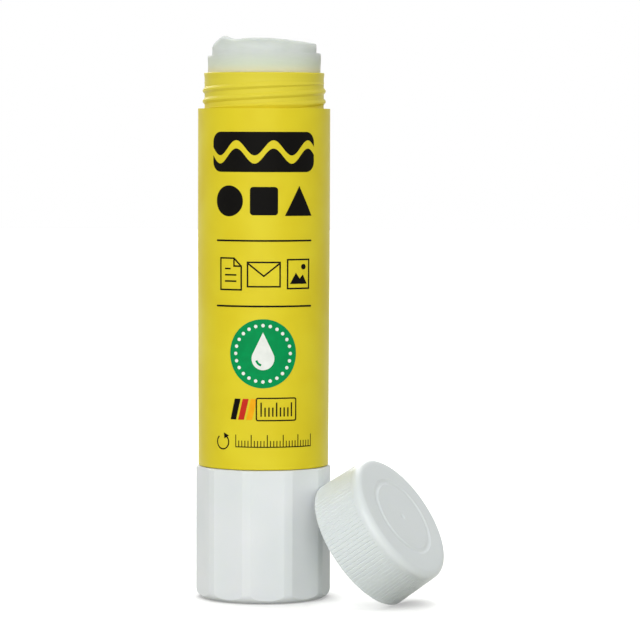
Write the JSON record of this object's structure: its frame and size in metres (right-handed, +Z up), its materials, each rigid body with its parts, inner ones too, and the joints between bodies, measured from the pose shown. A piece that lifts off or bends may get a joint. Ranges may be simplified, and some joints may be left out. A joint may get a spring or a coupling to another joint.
{
  "type": "glue stick",
  "caption": "Twist-up glue stick with a round barrel, a faceted turning base, a lead screw and carrier inside, and a ribbed screw cap lying beside it.",
  "frame": {"origin": "centre of the base's flat underside, where the stick stands", "axes": "+Z up along the barrel's axis; -Y is the printed front; the cap lies on the +X side"},
  "size_m": [0.0382, 0.0294, 0.0869],
  "materials": {
    "barrel_plastic": "satin",
    "white_plastic": "satin",
    "adhesive": "waxy"
  },
  "bodies": {
    "barrel": {"barrel": "barrel_plastic"},
    "base": {"twist_base": "white_plastic", "lead_screw": "white_plastic"},
    "lift": {"carrier": "white_plastic", "glue": "adhesive"},
    "cap": {"cap": "white_plastic"}
  },
  "joints": [
    {"name": "base_twist", "type": "hinge", "parent": "barrel", "child": "base", "pos_m": [0, 0, 0], "axis": [0, 0, 1], "range_deg": [-576, 1863]},
    {"name": "glue_rise", "type": "slide", "parent": "barrel", "child": "lift", "axis": [0, 0, 1], "range_m": [-0.0064, 0.0207]},
    {"name": "cap_off", "type": "slide", "parent": "barrel", "child": "cap", "axis": [0.9157, -0.4019, 0], "range_m": [0, 0.04]}
  ],
  "couplings": [
    {"joint": "glue_rise", "follows": "base_twist", "m_per_rad": 0.00063662}
  ]
}
